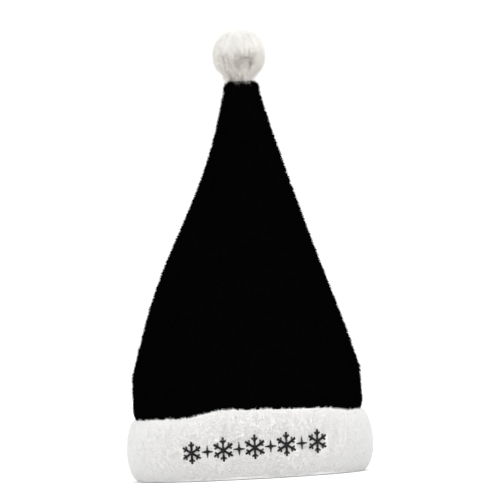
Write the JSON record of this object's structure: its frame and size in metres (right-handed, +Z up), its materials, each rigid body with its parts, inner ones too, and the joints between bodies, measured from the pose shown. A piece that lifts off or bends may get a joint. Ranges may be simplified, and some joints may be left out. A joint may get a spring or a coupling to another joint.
{
  "type": "plush party hat",
  "caption": "Soft black plush cone hat with a padded white plush cuff, raised black stitched motifs on its front, and a white fur pompom; its crown folds and its pompom tilts",
  "frame": {"origin": "centre of the head opening, on the plane that the cuff rests on", "axes": "+Z up along the crown, -Y out of the embroidered front, +X to the right of someone facing the front"},
  "size_m": [0.2462, 0.1765, 0.448],
  "materials": {
    "crown_plush": "matte",
    "lining_cloth": "matte",
    "black_thread": "satin",
    "embroidery_thread": "satin",
    "white_thread": "matte",
    "backing_cloth": "matte",
    "cuff_plush": "matte",
    "wadding": "matte",
    "pompom_fur": "matte"
  },
  "bodies": {
    "hat_base": {"crown_front_lower": "crown_plush", "crown_back_lower": "crown_plush", "side_seam_threads_lower": "black_thread", "crown_front_lower_fold": "crown_plush", "crown_back_lower_fold": "crown_plush", "side_seam_threads_lower_fold": "black_thread", "lining_front": "lining_cloth", "lining_back": "lining_cloth", "lining_seam_threads": "black_thread", "cuff_strip": "cuff_plush", "cuff_wadding": "wadding", "cuff_joining_thread": "white_thread", "cuff_back_seam_thread": "white_thread", "cuff_embroidery": "embroidery_thread", "embroidery_backing": "backing_cloth"},
    "crown_middle": {"crown_front_middle": "crown_plush", "crown_back_middle": "crown_plush", "side_seam_threads_middle": "black_thread", "crown_front_upper_fold": "crown_plush", "crown_back_upper_fold": "crown_plush", "side_seam_threads_upper_fold": "black_thread"},
    "crown_tip": {"crown_front_tip": "crown_plush", "crown_back_tip": "crown_plush", "side_seam_threads_tip": "black_thread"},
    "pompom_tie": {"pompom_knot": "white_thread"},
    "pompom": {"pompom_cover": "pompom_fur", "pompom_stuffing": "wadding", "pompom_gather_thread": "white_thread"}
  },
  "joints": [
    {"name": "lower_crown_fold", "type": "hinge", "parent": "hat_base", "child": "crown_middle", "pos_m": [0, 0, 0.19], "axis": [1, 0, 0], "range_deg": [-55, 55], "deforming": ["crown_front_lower_fold", "crown_back_lower_fold", "side_seam_threads_lower_fold"]},
    {"name": "upper_crown_fold", "type": "hinge", "parent": "crown_middle", "child": "crown_tip", "pos_m": [0.008, 0, 0.29], "axis": [1, 0, 0], "range_deg": [-55, 55], "deforming": ["crown_front_upper_fold", "crown_back_upper_fold", "side_seam_threads_upper_fold"]},
    {"name": "pompom_sway", "type": "hinge", "parent": "crown_tip", "child": "pompom_tie", "pos_m": [0.01, 0, 0.3966], "axis": [0, 1, 0], "range_deg": [-25, 25]},
    {"name": "pompom_nod", "type": "hinge", "parent": "pompom_tie", "child": "pompom", "pos_m": [0.01, 0, 0.3966], "axis": [1, 0, 0], "range_deg": [-25, 25]}
  ]
}
